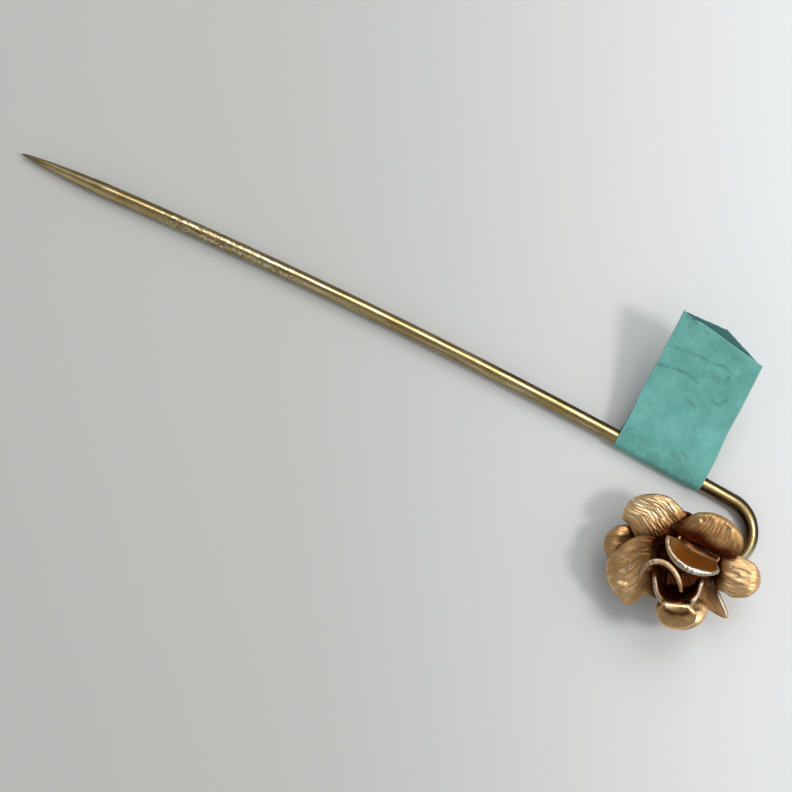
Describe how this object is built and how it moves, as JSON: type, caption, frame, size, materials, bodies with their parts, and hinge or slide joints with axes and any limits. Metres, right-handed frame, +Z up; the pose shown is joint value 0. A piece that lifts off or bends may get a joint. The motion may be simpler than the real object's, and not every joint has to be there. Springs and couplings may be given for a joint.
{
  "type": "hat pin",
  "caption": "Flower hat pin: a long pointed wire with a crook end, a rose of thin formed metal petals, and a paper price tag folded round the wire.",
  "frame": {"origin": "on the surface the pin lies on, under the middle of its bounding box", "axes": "+X along the wire from its point towards the crook and rose, +Y from the rose towards the tag's free end, +Z up, the way the rose faces"},
  "size_m": [0.0638, 0.0216, 0.0058],
  "materials": {
    "stem_brass": "drawn yellow brass wire, polished, scuffed and tarnished",
    "petal_gold": "rose-gold wash, brushed faces and polished cut edges",
    "tag_paper": "uncoated teal paper, lightly creased"
  },
  "bodies": {
    "pin": {"stem_wire": "stem_brass", "calyx_plate": "petal_gold", "centre_rivet": "petal_gold", "back_petal_1": "petal_gold", "back_petal_2": "petal_gold", "back_petal_3": "petal_gold", "back_petal_4": "petal_gold", "back_petal_5": "petal_gold", "front_petal_1": "petal_gold", "front_petal_2": "petal_gold", "front_petal_3": "petal_gold", "front_petal_4": "petal_gold", "front_petal_5": "petal_gold", "bud_petal_1": "petal_gold", "bud_petal_2": "petal_gold", "bud_petal_3": "petal_gold"},
    "tag": {"price_tag": "tag_paper"}
  },
  "joints": [
    {"name": "tag_swing", "type": "hinge", "parent": "pin", "child": "tag", "pos_m": [0.0213, 0.00013, 0.00072], "axis": [0.9986, -0.052, 0], "range_deg": [-27, 75]}
  ]
}
